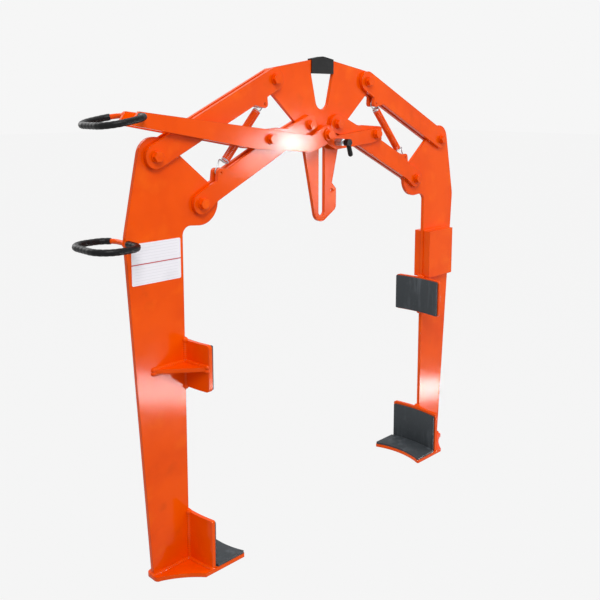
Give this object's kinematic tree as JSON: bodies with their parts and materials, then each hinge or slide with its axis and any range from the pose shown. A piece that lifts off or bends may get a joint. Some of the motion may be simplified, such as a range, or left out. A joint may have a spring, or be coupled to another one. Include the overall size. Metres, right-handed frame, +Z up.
{
  "type": "lifting tongs",
  "caption": "Orange lifting tongs with a hook eye, folding arms, rubber saddle jaws with foot shelves, a toggle lever with loop handle, tension springs and a lock plunger.",
  "frame": {"origin": "point under the bridge of the eye where the lifting hook bears", "axes": "+Z up, +X across the jaws with the lever on the -X side, +Y to the rear of the plates"},
  "size_m": [1.1262, 0.144, 1.0384],
  "materials": {
    "orange_paint": "semi-gloss orange paint on cut and welded steel plate",
    "painted_bolts": "bolts, nuts and washers sprayed over with the plates",
    "pad_rubber": "dull dark rubber sheet",
    "grip_rubber": "black foam or rubber tube",
    "sleeve_black": "black wear sleeve",
    "handle_plastic": "black moulded handle",
    "zinc_steel": "bright zinc plate"
  },
  "bodies": {
    "suspension": {"suspension_plate": "orange_paint", "eye_sleeve": "sleeve_black", "plate_pivot_bolts": "painted_bolts", "plate_pivot_nuts_washers": "painted_bolts"},
    "left_upper_link": {"left_upper_link_front": "orange_paint", "left_upper_link_rear": "orange_paint", "left_upper_spring_pin": "painted_bolts"},
    "left_lower_link": {"left_lower_link_front": "orange_paint", "left_lower_link_rear": "orange_paint", "left_lower_spring_pin": "painted_bolts", "lever_pivot_bolt": "painted_bolts", "lever_pivot_nuts_washers": "painted_bolts"},
    "left_arm": {"left_arm": "orange_paint", "left_upper_saddle": "orange_paint", "left_upper_gussets": "orange_paint", "left_lower_saddle": "orange_paint", "left_shelf": "orange_paint", "left_saddle_pads": "pad_rubber", "left_shelf_pad": "pad_rubber", "left_arm_pivot_bolts": "painted_bolts", "left_arm_pivot_nuts_washers": "painted_bolts", "arm_handle": "orange_paint", "arm_handle_grip": "grip_rubber"},
    "left_spring": {"left_spring_coil": "orange_paint"},
    "left_spring_end": {"left_spring_hook": "zinc_steel"},
    "right_upper_link": {"right_upper_link_front": "orange_paint", "right_upper_link_rear": "orange_paint", "right_upper_spring_pin": "painted_bolts"},
    "right_lower_link": {"right_lower_link_front": "orange_paint", "right_lower_link_rear": "orange_paint", "right_lower_spring_pin": "painted_bolts", "lock_pivot_bolt": "painted_bolts", "lock_pivot_nuts_washers": "painted_bolts"},
    "right_arm": {"right_arm": "orange_paint", "right_upper_saddle": "orange_paint", "right_upper_gussets": "orange_paint", "right_lower_saddle": "orange_paint", "right_shelf": "orange_paint", "right_saddle_pads": "pad_rubber", "right_shelf_pad": "pad_rubber", "right_arm_pivot_bolts": "painted_bolts", "right_arm_pivot_nuts_washers": "painted_bolts", "right_counterweights": "orange_paint"},
    "right_spring": {"right_spring_coil": "orange_paint"},
    "right_spring_end": {"right_spring_hook": "zinc_steel"},
    "lever": {"lever_front": "orange_paint", "lever_rear": "orange_paint", "lever_handle": "orange_paint", "lever_handle_grip": "grip_rubber"},
    "lock_link": {"lock_link_front": "orange_paint", "lock_link_rear": "orange_paint", "plunger_sleeve": "zinc_steel"},
    "plunger": {"plunger_pin": "zinc_steel", "plunger_handle": "handle_plastic"},
    "slider": {"slider_bolt": "painted_bolts", "slider_nuts_washers": "painted_bolts", "slider_bush": "zinc_steel"}
  },
  "joints": [
    {"name": "fold", "type": "hinge", "parent": "suspension", "child": "left_upper_link", "pos_m": [-0.15, 0, -0.015], "axis": [0, -1, 0], "range_deg": [0, 23.5], "stiffness_Nm_per_rad": 60, "springref_deg": -108.86},
    {"name": "left_lower_link_pivot", "type": "hinge", "parent": "suspension", "child": "left_lower_link", "pos_m": [-0.045, 0, -0.1125], "axis": [0, -1, 0], "range_deg": [0, 23.5]},
    {"name": "left_arm_pivot", "type": "hinge", "parent": "left_upper_link", "child": "left_arm", "pos_m": [-0.4511, 0, -0.16185], "axis": [0, 1, 0], "range_deg": [0, 23.5]},
    {"name": "right_upper_link_pivot", "type": "hinge", "parent": "suspension", "child": "right_upper_link", "pos_m": [0.15, 0, -0.015], "axis": [0, 1, 0], "range_deg": [0, 23.5]},
    {"name": "right_lower_link_pivot", "type": "hinge", "parent": "suspension", "child": "right_lower_link", "pos_m": [0.045, 0, -0.1125], "axis": [0, 1, 0], "range_deg": [0, 23.5]},
    {"name": "right_arm_pivot", "type": "hinge", "parent": "right_upper_link", "child": "right_arm", "pos_m": [0.4511, 0, -0.16185], "axis": [0, -1, 0], "range_deg": [0, 23.5]},
    {"name": "lever_pivot", "type": "hinge", "parent": "left_lower_link", "child": "lever", "pos_m": [-0.17451, 0, -0.13895], "axis": [0, 1, 0], "range_deg": [0, 50.9]},
    {"name": "lock_link_pivot", "type": "hinge", "parent": "right_lower_link", "child": "lock_link", "pos_m": [0.17451, 0, -0.13895], "axis": [0, -1, 0], "range_deg": [0, 50.9]},
    {"name": "slider_slot", "type": "slide", "parent": "suspension", "child": "slider", "axis": [0, 0, -1], "range_m": [0, 0.1266]},
    {"name": "left_spring_swing", "type": "hinge", "parent": "left_upper_link", "child": "left_spring", "pos_m": [-0.18002, 0, -0.06636], "axis": [0, 1, 0], "range_deg": [0, 3.6]},
    {"name": "right_spring_swing", "type": "hinge", "parent": "right_upper_link", "child": "right_spring", "pos_m": [0.18002, 0, -0.06636], "axis": [0, -1, 0], "range_deg": [0, 3.6]},
    {"name": "left_spring_stretch", "type": "slide", "parent": "left_spring", "child": "left_spring_end", "axis": [-0.6581, 0, -0.7529], "range_m": [0, 0.0597], "deforming": ["left_spring_coil"]},
    {"name": "right_spring_stretch", "type": "slide", "parent": "right_spring", "child": "right_spring_end", "axis": [0.6581, 0, -0.7529], "range_m": [0, 0.0597], "deforming": ["right_spring_coil"]},
    {"name": "plunger_lock", "type": "slide", "parent": "lock_link", "child": "plunger", "axis": [0, 1, 0], "range_m": [0, 0.008]}
  ],
  "couplings": [
    {"joint": "left_lower_link_pivot", "follows": "fold", "ratio": 1},
    {"joint": "left_arm_pivot", "follows": "fold", "ratio": 1},
    {"joint": "right_upper_link_pivot", "follows": "fold", "ratio": 1},
    {"joint": "right_lower_link_pivot", "follows": "fold", "ratio": 1},
    {"joint": "right_arm_pivot", "follows": "fold", "ratio": 1},
    {"joint": "lever_pivot", "follows": "fold", "ratio": 2.165},
    {"joint": "lock_link_pivot", "follows": "fold", "ratio": 2.165},
    {"joint": "slider_slot", "follows": "fold", "m_per_rad": 0.30847},
    {"joint": "left_spring_swing", "follows": "fold", "ratio": 0.149},
    {"joint": "right_spring_swing", "follows": "fold", "ratio": 0.149},
    {"joint": "left_spring_stretch", "follows": "fold", "m_per_rad": 0.1453},
    {"joint": "right_spring_stretch", "follows": "fold", "m_per_rad": 0.1453}
  ]
}
